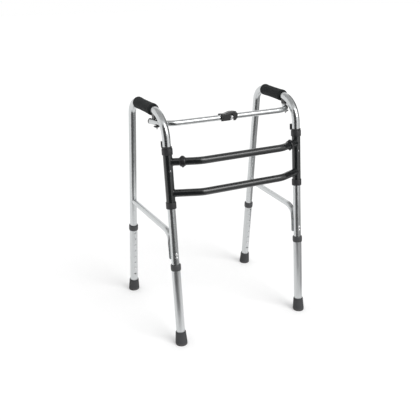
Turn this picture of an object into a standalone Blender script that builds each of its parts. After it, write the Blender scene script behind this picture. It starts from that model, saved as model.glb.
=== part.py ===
"""Folding walking frame: two side frames that turn in a black front frame, with a latched top bar.

Metres, +Z up, floor at z = 0. +X runs along the front frame, +Y points back to the user.
"""
import math

import bmesh
import bpy
from mathutils import Matrix, Vector

for old in list(bpy.data.objects):
    bpy.data.objects.remove(old, do_unlink=True)

# Tubes: outside diameters and wall, and the gap left between pieces that touch
SIDE_TUBE_D = 0.0254
LOWER_TUBE_D = 0.0286
SLEEVE_D = 0.0288
FRONT_BAR_D = 0.0238
TOP_BAR_D = 0.018
BRACE_D = 0.019
WALL = 0.0013
CLEAR = 0.0003

# Stance: half widths and depth at the floor, and how far each leg leans per metre of height
FRONT_HALF_WIDTH = 0.236
REAR_HALF_WIDTH = 0.249
DEPTH = 0.417
FRONT_LEAN = 0.12
REAR_LEAN = 0.095
CENTRE_Y = 0.2086

# Heights above the floor
GRIP_Z = 0.7555
TOP_BAR_Z = 0.7235
UPPER_BAR_Z = 0.613
LOWER_BAR_Z = 0.515
TOP_BUSH_Z = 0.655
BOTTOM_BUSH_Z = 0.467
SLEEVE_RIVET_Z = 0.587
BRACE_Z = 0.381
BRACE_RIVET_Z = {"upper": 0.318, "lower": 0.307}
BRACE_END_Z = 0.296
COLLAR_Z = 0.2835
TIP_HEIGHT = 0.046
TUBE_BOTTOM_Z = 0.009

# Leg holes: the top one, their pitch, and the one that the button stands in
HOLE_TOP_Z = 0.255
HOLE_PITCH = 0.0254
HOLE_COUNT = 8
HOLE_R = 0.0042
BUTTON_HOLE_INDEX = 6
TUBE_PAST_BUTTON = 0.026

# Bends of the side tubes, braces and front bars
FRONT_BEND_R = 0.084
REAR_BEND_R = 0.054
BRACE_BEND_R = 0.055
BAR_BOW = 0.047
BAR_BEND_X = 0.147
BAR_BEND_R = 0.065

# Brace end, pressed flat along the front leg
STRIP_HALF_WIDE = 0.0140
STRIP_HALF_THICK = 0.0024

# Foam grip: its start behind the front corner of the side tube, its length and radii
GRIP_START = 0.0785
GRIP_LENGTH = 0.1265
GRIP_R = 0.0187
GRIP_END_R = 0.0196

# Collar on the upper front bar: how far it sits from the leg axis, along the bar
BAR_COLLAR_IN = 0.045

# Top bar: where it bends, how far behind the front leg axis, and how its tail rises to the pivot bolt
TOP_BAR_BACK = 0.0275
TOP_BAR_BEND_X = 0.2206
TOP_BAR_BEND_R = 0.066
BOLT_BACK = 0.0635
BOLT_RISE = 0.0045
BOLT_R = 0.0029
BAR_TAIL = 0.030

# Joint of the top bar halves: the end faces of their plugs, and the pins of the latch
PLUG_FACE_X = {"left": -0.0068, "right": -0.0040}
PLUG_FLANGE = 0.0013
PLUG_LENGTH = 0.0310
PIN_X = {"left": -0.0315, "right": 0.0025}
PIN_R = {"left": 0.0028, "right": 0.0036}
PIN_HALF = {"left": 0.0124, "right": 0.0136}
PIN_NAME = {"left": "latch_pivot_pin", "right": "catch_pin"}
LATCH_HALF_WIDE = 0.0128
LATCH_WALL = 0.0030
LATCH_ROOF_Z = 0.0096
LATCH_ROOF_START = -0.0280

SIDES = 16
X_AXIS = Vector((1.0, 0.0, 0.0))
LEG_UP = Vector((0.0, FRONT_LEAN, 1.0)).normalized()
LEG_BACK = Vector((0.0, 1.0, -FRONT_LEAN)).normalized()
TOE_OUT = (REAR_HALF_WIDTH - FRONT_HALF_WIDTH) / DEPTH
HANDS = ((-1, "left"), (1, "right"))

assembly = bpy.data.collections.new("walking_frame")
cutters = bpy.data.collections.new("cutters")
bpy.context.scene.collection.children.link(assembly)
bpy.context.scene.collection.children.link(cutters)


def material(name, colour, metallic, roughness):
    mat = bpy.data.materials.new(name)
    mat.use_nodes = True
    shader = mat.node_tree.nodes["Principled BSDF"]
    shader.inputs["Base Color"].default_value = (*colour, 1.0)
    shader.inputs["Metallic"].default_value = metallic
    shader.inputs["Roughness"].default_value = roughness
    return mat


def side_point(sign, back, height):
    """A point of a side frame: back is the distance behind the front leg axis at that height."""
    x = sign * (FRONT_HALF_WIDTH + TOE_OUT * back)
    return Vector((x, back + FRONT_LEAN * height - CENTRE_Y, height))


def front_point(x, back, height):
    """A point of the front frame: height is read on the front leg axis, back square to that axis."""
    on_axis = Vector((x, FRONT_LEAN * height - CENTRE_Y, height))
    return on_axis + LEG_BACK * back


def clearing(radius, sides=SIDES):
    """The corner radius of a faceted bore whose flats clear a round of this radius."""
    return (radius + CLEAR) / math.cos(math.pi / sides)


def linked(obj, mat):
    """Put an object in the assembly with its material, or among the cutters without one."""
    if mat is None:
        cutters.objects.link(obj)
        obj.hide_render = True
        obj.display_type = "WIRE"
    else:
        obj.data.materials.append(mat)
        assembly.objects.link(obj)
    return obj


def stood(obj, base, axis, mat):
    """Stand an object on a base point, with its own Z along an axis."""
    obj.location = base
    obj.rotation_euler = axis.to_track_quat("Z", "Y").to_euler()
    return linked(obj, mat)


def turned(name, base, axis, profile, mat, sides=SIDES):
    """A profile of (radius, height) points turned round an axis."""
    points = list(profile)
    following = points[1:] + points[:1]
    runs_up = sum(a[0] * b[1] - b[0] * a[1] for a, b in zip(points, following)) > 0.0
    if runs_up:
        points.reverse()
    edges = [(i, i + 1) for i in range(len(points) - 1)]
    if max(points[0][0], points[-1][0]) > 0.0:
        edges.append((len(points) - 1, 0))
    outline = bpy.data.meshes.new(name)
    outline.from_pydata([(radius, 0.0, height) for radius, height in points], edges, [])
    obj = bpy.data.objects.new(name, outline)
    spin = obj.modifiers.new("spin", "SCREW")
    spin.steps = sides
    spin.render_steps = sides
    spin.use_merge_vertices = True
    spin.merge_threshold = 0.00001
    return stood(obj, base, axis, mat)


def cylinder_cut(name, base, axis, length, radius, sides=SIDES):
    """A plain cylinder to cut with, standing on its base."""
    builder = bmesh.new()
    raised = Matrix.Translation((0.0, 0.0, length / 2))
    bmesh.ops.create_cone(
        builder, cap_ends=True, segments=sides, radius1=radius, radius2=radius, depth=length, matrix=raised,
    )
    mesh = bpy.data.meshes.new(name)
    builder.to_mesh(mesh)
    builder.free()
    return stood(bpy.data.objects.new(name, mesh), base, axis, None)


def meshed(name, curve, place, mat):
    """A curve's shape as a mesh object, with its caps welded to its sides."""
    shape = bpy.data.objects.new(name, curve)
    cutters.objects.link(shape)
    bpy.context.view_layer.update()
    graph = bpy.context.evaluated_depsgraph_get()
    mesh = bpy.data.meshes.new_from_object(shape.evaluated_get(graph))
    bpy.data.objects.remove(shape, do_unlink=True)
    builder = bmesh.new()
    builder.from_mesh(mesh)
    bmesh.ops.remove_doubles(builder, verts=builder.verts, dist=0.000001)
    bmesh.ops.recalc_face_normals(builder, faces=builder.faces)
    builder.to_mesh(mesh)
    builder.free()
    obj = bpy.data.objects.new(name, mesh)
    obj.matrix_world = place
    return linked(obj, mat)


def round_bar(name, path, radius, mat, sides=SIDES, capped=True, shares=None):
    """A round bar along a path; shares scale its radius at each point of the path."""
    curve = bpy.data.curves.new(name, "CURVE")
    curve.dimensions = "3D"
    curve.bevel_depth = radius
    curve.bevel_resolution = (sides - 4) // 2
    curve.use_fill_caps = capped
    spline = curve.splines.new("POLY")
    spline.points.add(len(path) - 1)
    for i, spot in enumerate(path):
        spline.points[i].co = (*spot, 1.0)
        spline.points[i].radius = shares[i] if shares else 1.0
    return meshed(name, curve, Matrix.Identity(4), mat)


def bent_tube(name, path, diameter, mat):
    """A thin-walled tube along a path, open at both ends."""
    tube = round_bar(name, path, diameter / 2, mat, capped=False)
    wall = tube.modifiers.new("wall", "SOLIDIFY")
    wall.thickness = WALL
    wall.offset = -1.0
    wall.use_even_offset = True
    return tube


def plate(name, origin, right, up, outline, half_thick, mat):
    """A flat outline of (right, up) points, thickened both ways."""
    curve = bpy.data.curves.new(name, "CURVE")
    curve.dimensions = "2D"
    curve.fill_mode = "BOTH"
    curve.extrude = half_thick
    spline = curve.splines.new("POLY")
    spline.points.add(len(outline) - 1)
    for point, (a, b) in zip(spline.points, outline):
        point.co = (a, b, 0.0, 1.0)
    spline.use_cyclic_u = True
    place = Matrix((right, up, right.cross(up))).transposed().to_4x4()
    place.translation = origin
    return meshed(name, curve, place, mat)


def corner_arc(before, corner, after, radius, steps):
    """Points of the arc that rounds one corner."""
    to_last = (before - corner).normalized()
    to_next = (after - corner).normalized()
    half = to_last.angle(to_next) / 2.0
    centre = corner + (to_last + to_next).normalized() * (radius / math.sin(half))
    start = corner + to_last * (radius / math.tan(half)) - centre
    end = corner + to_next * (radius / math.tan(half)) - centre
    sweep = start.angle(end)
    arc = []
    for k in range(steps + 1):
        from_start = math.sin((1.0 - k / steps) * sweep) / math.sin(sweep)
        from_end = math.sin(k / steps * sweep) / math.sin(sweep)
        arc.append(centre + start * from_start + end * from_end)
    return arc


def rounded_path(points, radii, steps=8):
    """An open path whose inner corners are arcs of the given radii."""
    path = [points[0]]
    for i, radius in enumerate(radii, 1):
        path += corner_arc(points[i - 1], points[i], points[i + 1], radius, steps)
    return path + [points[-1]]


def rounded_outline(corners, steps=3):
    """A closed outline from (x, y, corner radius) values."""
    points = [Vector(corner[:2]) for corner in corners]
    outline = []
    for i, corner in enumerate(corners):
        following = points[(i + 1) % len(points)]
        outline += corner_arc(points[i - 1], points[i], following, corner[2], steps)
    return outline


def carve(obj, cutter, operation="DIFFERENCE"):
    change = obj.modifiers.new(cutter.name, "BOOLEAN")
    change.operation = operation
    change.solver = "EXACT"
    change.object = cutter


def body(name, position):
    empty = bpy.data.objects.new(name, None)
    empty.empty_display_size = 0.03
    empty.location = position
    assembly.objects.link(empty)
    return empty


def attach(empty, children):
    """Parent without moving: the empty and its children were all placed in world coordinates."""
    for child in children:
        child.parent = empty
        child.matrix_parent_inverse = Matrix.Translation(-empty.location)


root = body("front_frame", Vector((0.0, 0.0, 0.0)))
leg_bore = clearing(SIDE_TUBE_D / 2)
sleeve_r = SLEEVE_D / 2
sleeve_bore = clearing(sleeve_r)

# Front frame: a sleeve on each front leg, a bush over each of its ends and a rivet in its front
for sign, side in HANDS:
    leg_x = sign * FRONT_HALF_WIDTH
    black = material(f"{side}_sleeve_black_paint", (0.015, 0.015, 0.016), 0.0, 0.25)
    bush_lap = 0.006
    sleeve_length = (TOP_BUSH_Z - BOTTOM_BUSH_Z - 2 * bush_lap) * math.hypot(1.0, FRONT_LEAN)
    sleeve = turned(
        f"{side}_sleeve", front_point(leg_x, 0.0, BOTTOM_BUSH_Z + bush_lap), LEG_UP,
        [(sleeve_r, 0.0), (sleeve_r, sleeve_length), (leg_bore, sleeve_length), (leg_bore, 0.0)], black,
    )
    bushes = []
    for end, height, way, radius, depth in (
        ("top", TOP_BUSH_Z, -1.0, 0.0170, 0.0190), ("bottom", BOTTOM_BUSH_Z, 1.0, 0.0165, 0.0210),
    ):
        nylon = material(f"{side}_{end}_bush_nylon", (0.03, 0.03, 0.032), 0.0, 0.5)
        floor = bush_lap - 0.0004
        bushes.append(turned(
            f"{side}_{end}_bush", front_point(leg_x, 0.0, height), LEG_UP * way,
            [(leg_bore, 0.0), (radius - 0.0010, 0.0), (radius, 0.0012), (radius, depth - 0.0015),
             (radius - 0.0010, depth), (sleeve_bore, depth), (sleeve_bore, floor), (leg_bore, floor)], nylon,
        ))
    steel = material(f"{side}_sleeve_rivet_steel", (0.6, 0.6, 0.6), 1.0, 0.3)
    rivet = turned(
        f"{side}_sleeve_rivet", front_point(leg_x, -sleeve_r - CLEAR, SLEEVE_RIVET_Z), -LEG_BACK,
        [(0.0, 0.0), (0.0032, 0.0), (0.0028, 0.0010), (0.0014, 0.0018), (0.0, 0.0020)], steel, 12,
    )
    attach(root, [sleeve, rivet] + bushes)

# Front frame: two bowed bars whose ends are coped to the sleeves
copes = []
for sign, side in HANDS:
    base = front_point(sign * FRONT_HALF_WIDTH, 0.0, BOTTOM_BUSH_Z)
    cope_length = TOP_BUSH_Z - BOTTOM_BUSH_Z
    copes.append(cylinder_cut(f"{side}_sleeve_cope", base, LEG_UP, cope_length, sleeve_bore, 32))
for name, height in (("upper_front_bar", UPPER_BAR_Z), ("lower_front_bar", LOWER_BAR_Z)):
    black = material(f"{name}_black_paint", (0.015, 0.015, 0.016), 0.0, 0.25)
    corners = [
        front_point(-FRONT_HALF_WIDTH, 0.0, height), front_point(-BAR_BEND_X, -BAR_BOW, height),
        front_point(BAR_BEND_X, -BAR_BOW, height), front_point(FRONT_HALF_WIDTH, 0.0, height),
    ]
    bar = bent_tube(name, rounded_path(corners, [BAR_BEND_R, BAR_BEND_R], 6), FRONT_BAR_D, black)
    for cope in copes:
        carve(bar, cope)
    attach(root, [bar])

# Front frame: a barrel collar on the upper bar near each sleeve, with a domed boss and a pointed screw
for sign, side in HANDS:
    nylon = material(f"{side}_bar_collar_nylon", (0.02, 0.02, 0.022), 0.0, 0.45)
    outer_end = front_point(sign * FRONT_HALF_WIDTH, 0.0, UPPER_BAR_Z)
    inner_end = front_point(sign * BAR_BEND_X, -BAR_BOW, UPPER_BAR_Z)
    along = (outer_end - inner_end).normalized()
    centre = outer_end - along * BAR_COLLAR_IN
    bar_bore = clearing(FRONT_BAR_D / 2)
    collar = turned(
        f"{side}_bar_collar", centre, along,
        [(bar_bore, -0.0090), (0.0136, -0.0090), (0.0150, -0.0060), (0.0156, 0.0), (0.0150, 0.0060),
         (0.0136, 0.0090), (bar_bore, 0.0090)], nylon,
    )
    boss_start = 0.0132
    screw = turned(
        f"{side}_collar_screw", centre - LEG_UP * boss_start, -LEG_UP,
        [(0.0, 0.0), (0.0046, 0.0), (0.0042, 0.0034), (0.0022, 0.0044), (0.0016, 0.0056), (0.0, 0.0060)],
        None, 12,
    )
    dome = turned(
        f"{side}_collar_dome", centre + LEG_UP * boss_start, LEG_UP,
        [(0.0, 0.0), (0.0064, 0.0), (0.0056, 0.0030), (0.0036, 0.0044), (0.0, 0.0050)], None, 12,
    )
    carve(collar, screw, "UNION")
    carve(collar, dome, "UNION")
    attach(root, [collar])

# Floor: a block below z = 0 that cuts the soles of the tips flat
floor_builder = bmesh.new()
bmesh.ops.create_cube(floor_builder, size=1.0, matrix=Matrix.Translation((0.0, 0.0, -0.5)))
floor_mesh = bpy.data.meshes.new("floor_cut")
floor_builder.to_mesh(floor_mesh)
floor_builder.free()
floor_cut = linked(bpy.data.objects.new("floor_cut", floor_mesh), None)


def pressed_end(half_wide, half_thick):
    """Section of a tube pressed flat, thin in its second direction."""
    points = []
    for i in range(SIDES):
        turn = 2.0 * math.pi * (i + 0.5) / SIDES
        c, s = math.cos(turn), math.sin(turn)
        wide = math.copysign(abs(c) ** 0.6, c) * half_wide
        thick = math.copysign(abs(s) ** 0.5, s) * half_thick
        points.append((wide, thick))
    return points


def round_end(radius):
    turns = [2.0 * math.pi * (i + 0.5) / SIDES for i in range(SIDES)]
    return [(radius * math.cos(turn), radius * math.sin(turn)) for turn in turns]


def loft(builder, path, normal, sections):
    """Rings of points along a path that lies square to normal, joined by faces."""
    rings = []
    last = len(path) - 1
    for i, point in enumerate(path):
        ahead = (path[min(i + 1, last)] - path[i]).normalized()
        behind = (path[i] - path[max(i - 1, 0)]).normalized()
        across = (ahead + behind).cross(normal).normalized()
        rings.append([builder.verts.new(point + normal * a + across * b) for a, b in sections[i]])
    for first, second in zip(rings, rings[1:]):
        for i in range(SIDES):
            builder.faces.new((first[i - 1], first[i], second[i], second[i - 1]))
    return rings


def pressed_tube(name, path, normal, pressed_shares, mat):
    """A round tube, open at its start, that is pressed flat and solid towards its end."""
    builder = bmesh.new()
    whole = round_end(BRACE_D / 2)
    pressed = pressed_end(STRIP_HALF_WIDE, STRIP_HALF_THICK)
    sections = []
    for share in pressed_shares:
        blended = [
            (a[0] + (b[0] - a[0]) * share, a[1] + (b[1] - a[1]) * share) for a, b in zip(whole, pressed)
        ]
        sections.append(blended)
    hollow_count = pressed_shares.count(0.0)
    outside = loft(builder, path, normal, sections)
    inside = loft(builder, path[:hollow_count], normal, [round_end(BRACE_D / 2 - WALL)] * hollow_count)
    for i in range(SIDES):
        builder.faces.new((outside[0][i - 1], outside[0][i], inside[0][i], inside[0][i - 1]))
    builder.faces.new(outside[-1])
    builder.faces.new(inside[-1])
    bmesh.ops.recalc_face_normals(builder, faces=builder.faces)
    mesh = bpy.data.meshes.new(name)
    builder.to_mesh(mesh)
    builder.free()
    return linked(bpy.data.objects.new(name, mesh), mat)


# The two side frames, each with its top bar half, lower legs and snap buttons
for sign, side in HANDS:
    side_body = body(f"{side}_side", front_point(sign * FRONT_HALF_WIDTH, 0.0, 0.0))
    attach(root, [side_body])

    # Legs of this side: where the axis meets the floor, which way is up, where the holes face
    across = (side_point(sign, 1.0, 0.0) - side_point(sign, 0.0, 0.0)).cross(LEG_UP).normalized()
    rear_top_back = DEPTH - (FRONT_LEAN + REAR_LEAN) * GRIP_Z
    feet = {"front": side_point(sign, 0.0, 0.0), "rear": side_point(sign, DEPTH, 0.0)}
    tops = {"front": side_point(sign, 0.0, GRIP_Z), "rear": side_point(sign, rear_top_back, GRIP_Z)}
    leg_up = {end: (tops[end] - feet[end]).normalized() for end in feet}
    facing = {end: across.cross(leg_up[end]) for end in feet}
    if facing["front"].y < 0.0:
        facing["front"].negate()
    if facing["rear"].y > 0.0:
        facing["rear"].negate()
    button_reach = HOLE_TOP_Z - HOLE_PITCH * BUTTON_HOLE_INDEX
    tube_end = button_reach - TUBE_PAST_BUTTON

    # Side tube: one length bent into an upturned U
    alloy = material(f"{side}_side_alloy", (0.75, 0.76, 0.77), 1.0, 0.22)
    corners = [
        feet["front"] + leg_up["front"] * tube_end, tops["front"], tops["rear"],
        feet["rear"] + leg_up["rear"] * tube_end,
    ]
    side_tube = bent_tube(
        f"{side}_side_tube", rounded_path(corners, [FRONT_BEND_R, REAR_BEND_R]), SIDE_TUBE_D, alloy,
    )
    for end in feet:
        seat = feet[end] + leg_up[end] * button_reach
        hole = cylinder_cut(
            f"{side}_{end}_button_hole", seat + facing[end] * 0.006, facing[end], 0.012, HOLE_R, 12,
        )
        carve(side_tube, hole)

    # Brace: coped to the rear leg, bent down and pressed flat along the back of the front leg
    alloy = material(f"{side}_brace_alloy", (0.75, 0.76, 0.77), 1.0, 0.25)
    strip_back = SIDE_TUBE_D / 2 + CLEAR + 0.0002 + STRIP_HALF_THICK
    rear_back = DEPTH - (FRONT_LEAN + REAR_LEAN) * BRACE_Z
    corners = [
        side_point(sign, rear_back, BRACE_Z),
        side_point(sign, 0.0, BRACE_Z) + facing["front"] * strip_back,
        side_point(sign, 0.0, BRACE_END_Z) + facing["front"] * strip_back,
    ]
    path = rounded_path(corners, [BRACE_BEND_R])
    strip_top, strip_end = path[-2:]
    path = path[:-1] + [strip_top.lerp(strip_end, share) for share in (0.12, 0.3, 1.0)]
    pressing = [0.2, 0.55, 0.9, 1.0, 1.0, 1.0, 1.0]
    pressed_shares = [0.0] * (len(path) - len(pressing)) + pressing
    brace = pressed_tube(f"{side}_brace", path, across, pressed_shares, alloy)
    cope_half = 0.04
    cope_base = feet["rear"] + leg_up["rear"] * (BRACE_Z - cope_half)
    leg_cut = cylinder_cut(f"{side}_brace_cope", cope_base, leg_up["rear"], 2 * cope_half, leg_bore, 32)
    carve(brace, leg_cut)

    # Rivets through the front leg and the flat of the brace
    rivets = []
    head = SIDE_TUBE_D / 2 + CLEAR
    tail = strip_back + STRIP_HALF_THICK + CLEAR
    for label, height in BRACE_RIVET_Z.items():
        steel = material(f"{side}_{label}_rivet_steel", (0.62, 0.62, 0.63), 1.0, 0.25)
        through = side_point(sign, 0.0, height)
        rivets.append(turned(
            f"{side}_{label}_rivet", through, -facing["front"],
            [(0.0, -tail - 0.0016), (0.0030, -tail - 0.0010), (0.0036, -tail), (0.0021, -tail),
             (0.0021, head), (0.0040, head), (0.0034, head + 0.0014), (0.0018, head + 0.0022),
             (0.0, head + 0.0024)], steel, 12,
        ))
        drill = cylinder_cut(
            f"{side}_{label}_rivet_hole", through - facing["front"] * 0.03, facing["front"], 0.06, 0.0026, 12,
        )
        carve(side_tube, drill)
        carve(brace, drill)

    # Foam grip on the straight of the side tube, fuller at its ends
    foam = material(f"{side}_grip_foam", (0.02, 0.02, 0.02), 0.0, 0.9)
    grip_axis = (tops["rear"] - tops["front"]).normalized()
    half_grip = [
        (leg_bore, 0.0), (GRIP_END_R - 0.0022, 0.0), (GRIP_END_R - 0.0005, 0.0018), (GRIP_END_R, 0.0060),
        (GRIP_R + 0.0003, 0.0200),
    ]
    far_half = [(radius, GRIP_LENGTH - reach) for radius, reach in reversed(half_grip)]
    grip = turned(
        f"{side}_grip", tops["front"] + grip_axis * GRIP_START, grip_axis,
        half_grip + [(GRIP_R, GRIP_LENGTH / 2)] + far_half, foam,
    )

    # Stop on the front leg above the sleeve: a ring with an upright tab behind the leg
    nylon = material(f"{side}_stop_nylon", (0.03, 0.03, 0.03), 0.0, 0.5)
    stop_base = front_point(sign * FRONT_HALF_WIDTH, 0.0, TOP_BUSH_Z + 2 * CLEAR)
    stop = turned(
        f"{side}_sleeve_stop", stop_base, LEG_UP,
        [(leg_bore, 0.0), (0.0158, 0.0), (0.0158, 0.0040), (0.0150, 0.0052), (leg_bore, 0.0052)], nylon,
    )
    tab_half_wide = 0.0110
    tab = plate(
        f"{side}_stop_tab", stop_base, LEG_BACK, LEG_UP,
        rounded_outline([
            (0.0142, 0.0004, 0.0002), (0.0202, 0.0004, 0.0010), (0.0202, 0.0205, 0.0008),
            (0.0176, 0.0205, 0.0008), (0.0170, 0.0044, 0.0010), (0.0142, 0.0044, 0.0002),
        ], 2), tab_half_wide, None,
    )
    carve(stop, tab, "UNION")

    # Bracket: a saddle under the side tube that carries the pivot bolt of the top bar
    nylon = material(f"{side}_bracket_nylon", (0.02, 0.02, 0.02), 0.0, 0.4)
    bar_r = TOP_BAR_D / 2
    bolt_x = sign * (FRONT_HALF_WIDTH + TOE_OUT * BOLT_BACK)
    pivot = front_point(bolt_x, BOLT_BACK, TOP_BAR_Z + BOLT_RISE)
    foot_z = bar_r + 0.0020
    saddle = plate(
        f"{side}_bracket", pivot, LEG_BACK, LEG_UP,
        rounded_outline([
            (-0.0085, foot_z, 0.0015), (0.0085, foot_z, 0.0015), (0.0105, foot_z + 0.0045, 0.0020),
            (0.0105, foot_z + 0.0195, 0.0010), (-0.0105, foot_z + 0.0195, 0.0010),
            (-0.0105, foot_z + 0.0045, 0.0020),
        ], 2), 0.0100, nylon,
    )
    seat_path = rounded_path(
        [side_point(sign, 0.0, 0.60), tops["front"], tops["front"].lerp(tops["rear"], 0.5)], [FRONT_BEND_R],
    )
    seat_sides = 24
    seat_cut = round_bar(
        f"{side}_saddle_seat", seat_path, clearing(SIDE_TUBE_D / 2, seat_sides), None, seat_sides,
    )
    carve(saddle, seat_cut)
    bolt_bore = BOLT_R + 0.0005
    head_r = 0.0052
    head_z = foot_z + 0.0032
    nut_z = bar_r + 0.0016
    thread_z = -bar_r - 0.0130
    head_pocket = turned(
        f"{side}_bolt_pocket", pivot, LEG_UP,
        [(0.0, foot_z - 0.0020), (bolt_bore, foot_z - 0.0020), (bolt_bore, head_z - CLEAR),
         (head_r + 0.0008, head_z - CLEAR), (head_r + 0.0008, 0.0400), (0.0, 0.0400)], None,
    )
    carve(saddle, head_pocket)
    steel = material(f"{side}_bolt_steel", (0.55, 0.55, 0.56), 1.0, 0.3)
    bolt = turned(
        f"{side}_bracket_bolt", pivot, LEG_UP,
        [(0.0, thread_z), (BOLT_R - 0.0011, thread_z), (BOLT_R, thread_z + 0.0013), (BOLT_R, head_z),
         (head_r, head_z), (head_r, head_z + 0.0028), (0.0, head_z + 0.0028)], steel,
    )
    dark = material(f"{side}_nut_black", (0.03, 0.03, 0.03), 0.3, 0.4)
    nut = turned(
        f"{side}_bracket_nut", pivot - LEG_UP * nut_z, -LEG_UP,
        [(bolt_bore, 0.0), (0.0094, 0.0), (0.0100, 0.0010), (0.0097, 0.0024), (0.0072, 0.0034),
         (0.0064, 0.0050), (0.0050, 0.0058), (bolt_bore, 0.0058)], dark,
    )
    attach(side_body, [side_tube, brace, grip, stop, saddle, bolt, nut] + rivets)

    # Half of the top bar: swings on the pivot bolt, closed and rounded off at its outer end
    alloy = material(f"{side}_bar_alloy", (0.78, 0.79, 0.80), 1.0, 0.15)
    bar_body = body(f"{side}_bar", pivot)
    attach(side_body, [bar_body])
    bend = front_point(sign * TOP_BAR_BEND_X, TOP_BAR_BACK, TOP_BAR_Z)
    tail_way = (pivot - bend).normalized()
    open_x = PLUG_FACE_X[side] + sign * PLUG_FLANGE
    corners = [front_point(open_x, TOP_BAR_BACK, TOP_BAR_Z), bend, pivot + tail_way * BAR_TAIL]
    path = rounded_path(corners, [TOP_BAR_BEND_R], 6)
    tip_length = 0.004
    path.insert(-1, path[-1] - tail_way * tip_length)
    tip_shares = [1.0] * (len(path) - 1) + [0.72]
    bar = round_bar(f"{side}_bar_tube", path, bar_r, alloy, shares=tip_shares)
    hollow_path = [path[0] - X_AXIS * sign * 0.01] + path[1:-1]
    carve(bar, round_bar(f"{side}_bar_hollow", hollow_path, bar_r - WALL, None))
    carve(bar, cylinder_cut(f"{side}_bar_bolt_hole", pivot - LEG_UP * 0.02, LEG_UP, 0.04, bolt_bore))

    # Plug in the inner end of the bar; the left one carries the latch, the right one the catch pin
    nylon = material(f"{side}_plug_nylon", (0.05, 0.05, 0.05), 0.0, 0.45)
    spigot_r = bar_r - WALL - 0.0004
    flange_back = PLUG_FLANGE - CLEAR
    plug = turned(
        f"{side}_bar_plug", front_point(PLUG_FACE_X[side], TOP_BAR_BACK, TOP_BAR_Z), X_AXIS * sign,
        [(0.0, 0.0), (bar_r - 0.0008, 0.0), (bar_r - 0.0002, 0.0006), (bar_r - 0.0002, flange_back),
         (spigot_r, flange_back), (spigot_r, PLUG_LENGTH), (0.0, PLUG_LENGTH)], nylon,
    )
    steel = material(f"{side}_pin_steel", (0.7, 0.7, 0.7), 1.0, 0.2)
    pin_r = PIN_R[side]
    pin_length = 2 * PIN_HALF[side]
    pin = turned(
        PIN_NAME[side], front_point(PIN_X[side], TOP_BAR_BACK - PIN_HALF[side], TOP_BAR_Z), LEG_BACK,
        [(0.0, 0.0), (pin_r - 0.0005, 0.0), (pin_r, 0.0006), (pin_r, pin_length - 0.0006),
         (pin_r - 0.0005, pin_length), (0.0, pin_length)], steel,
    )
    pin_hole = cylinder_cut(
        f"{side}_pin_hole", front_point(PIN_X[side], TOP_BAR_BACK - 0.02, TOP_BAR_Z), LEG_BACK, 0.04,
        pin_r + 0.0004,
    )
    carve(plug, pin_hole)
    carve(bar, pin_hole)
    attach(bar_body, [bar, plug, pin])

    # Lower legs: a tube with a row of holes, a collar on its rim and a rubber tip flat on the floor
    for end in feet:
        up = leg_up[end]
        foot = feet[end]
        leg_body = body(f"{side}_{end}_leg", foot)
        attach(side_body, [leg_body])
        alloy = material(f"{side}_{end}_leg_alloy", (0.76, 0.77, 0.78), 1.0, 0.24)
        lower_r = LOWER_TUBE_D / 2
        collar_floor = 0.0024
        tube_top = COLLAR_Z - collar_floor - 0.0004
        leg_tube = turned(
            f"{side}_{end}_leg_tube", foot, up,
            [(lower_r, TUBE_BOTTOM_Z), (lower_r, tube_top), (leg_bore, tube_top), (leg_bore, TUBE_BOTTOM_Z)],
            alloy,
        )
        for index in range(HOLE_COUNT):
            spot = foot + up * (HOLE_TOP_Z - HOLE_PITCH * index) + facing[end] * 0.008
            carve(leg_tube, cylinder_cut(f"{side}_{end}_hole_{index}", spot, facing[end], 0.012, HOLE_R, 12))
        nylon = material(f"{side}_{end}_collar_nylon", (0.06, 0.06, 0.065), 0.0, 0.55)
        rim = clearing(lower_r)
        collar = turned(
            f"{side}_{end}_collar", foot + up * COLLAR_Z, -up,
            [(leg_bore, 0.0), (0.0155, 0.0), (0.0166, 0.0015), (0.0166, 0.0185), (0.0158, 0.0200),
             (rim, 0.0200), (rim, collar_floor), (leg_bore, collar_floor)], nylon,
        )
        rubber = material(f"{side}_{end}_tip_rubber", (0.06, 0.06, 0.062), 0.0, 0.8)
        cup_floor = TUBE_BOTTOM_Z - 0.0005
        tip = turned(
            f"{side}_{end}_tip", foot, up,
            [(0.0, -0.0050), (0.0188, -0.0050), (0.0195, 0.0006), (0.0200, 0.0050), (0.0196, 0.0120),
             (0.0172, TIP_HEIGHT - 0.0025), (0.0162, TIP_HEIGHT), (rim, TIP_HEIGHT), (rim, cup_floor),
             (0.0, cup_floor)], rubber,
        )
        carve(tip, floor_cut)
        attach(leg_body, [leg_tube, collar, tip])

        # Snap button: rides in the side tube and pops out through a hole of the lower leg
        steel = material(f"{side}_{end}_button_steel", (0.65, 0.65, 0.66), 1.0, 0.25)
        seat = foot + up * button_reach
        button_body = body(f"{side}_{end}_button_press", seat)
        attach(side_body, [button_body])
        button = turned(
            f"{side}_{end}_button", seat, facing[end],
            [(0.0, 0.0078), (0.0048, 0.0078), (0.0048, 0.0094), (0.0037, 0.0094), (0.0037, 0.0148),
             (0.0030, 0.0163), (0.0016, 0.0171), (0.0, 0.0174)], steel, 12,
        )
        attach(button_body, [button])

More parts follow.
